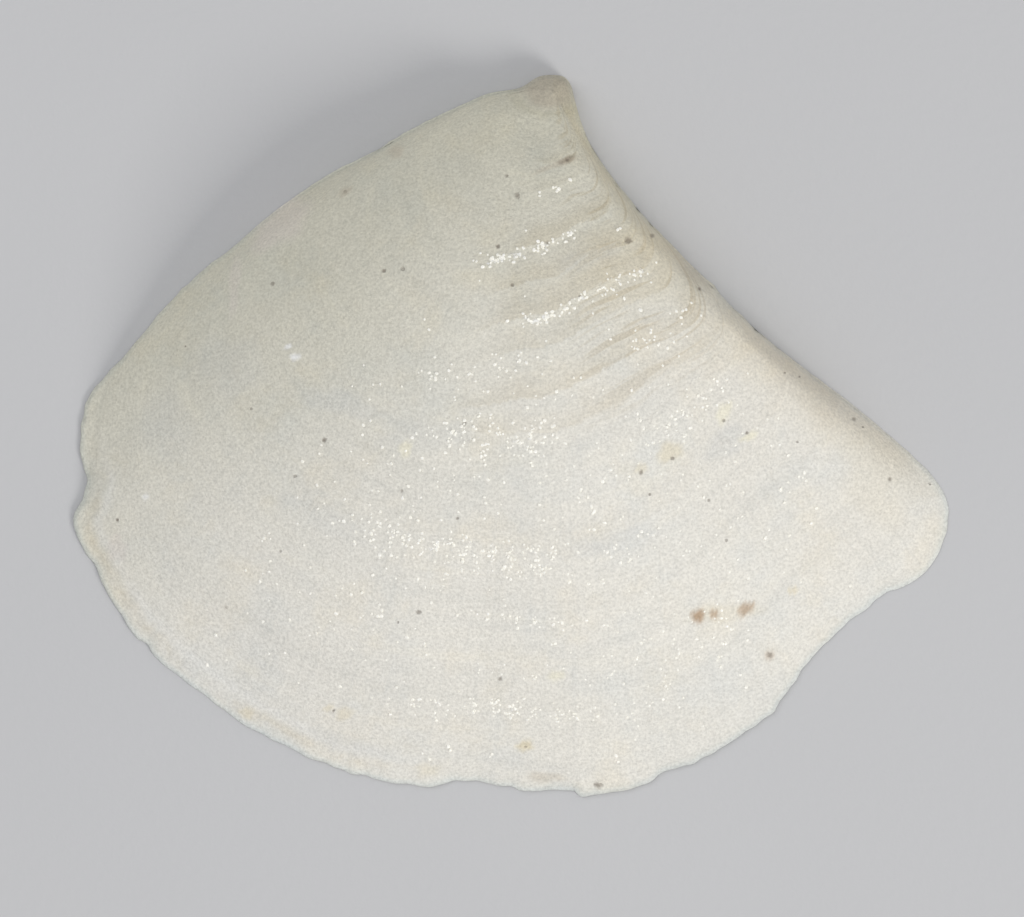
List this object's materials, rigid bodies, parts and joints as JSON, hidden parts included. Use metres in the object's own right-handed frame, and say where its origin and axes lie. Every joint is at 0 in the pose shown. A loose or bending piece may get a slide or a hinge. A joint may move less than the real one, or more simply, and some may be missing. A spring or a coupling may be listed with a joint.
{
  "type": "crassinella ecuadoriana shell",
  "caption": "Single left valve of a minute three-cornered clam: chalky white, worn growth ledges, pointed beak, hollow underside and flat rim.",
  "frame": {"origin": "middle of the footprint, in the plane of the rim, which is the surface the valve lies on", "axes": "+X from the front end to the rear end, +Y from the lower edge to the beak, +Z out of the rounded outer face"},
  "size_m": [0.004, 0.0032, 0.0007],
  "materials": {
    "chalky_shell": "worn, chalky, faintly translucent at the edge"
  },
  "bodies": {
    "root": {"left_valve": "chalky_shell"}
  },
  "joints": []
}
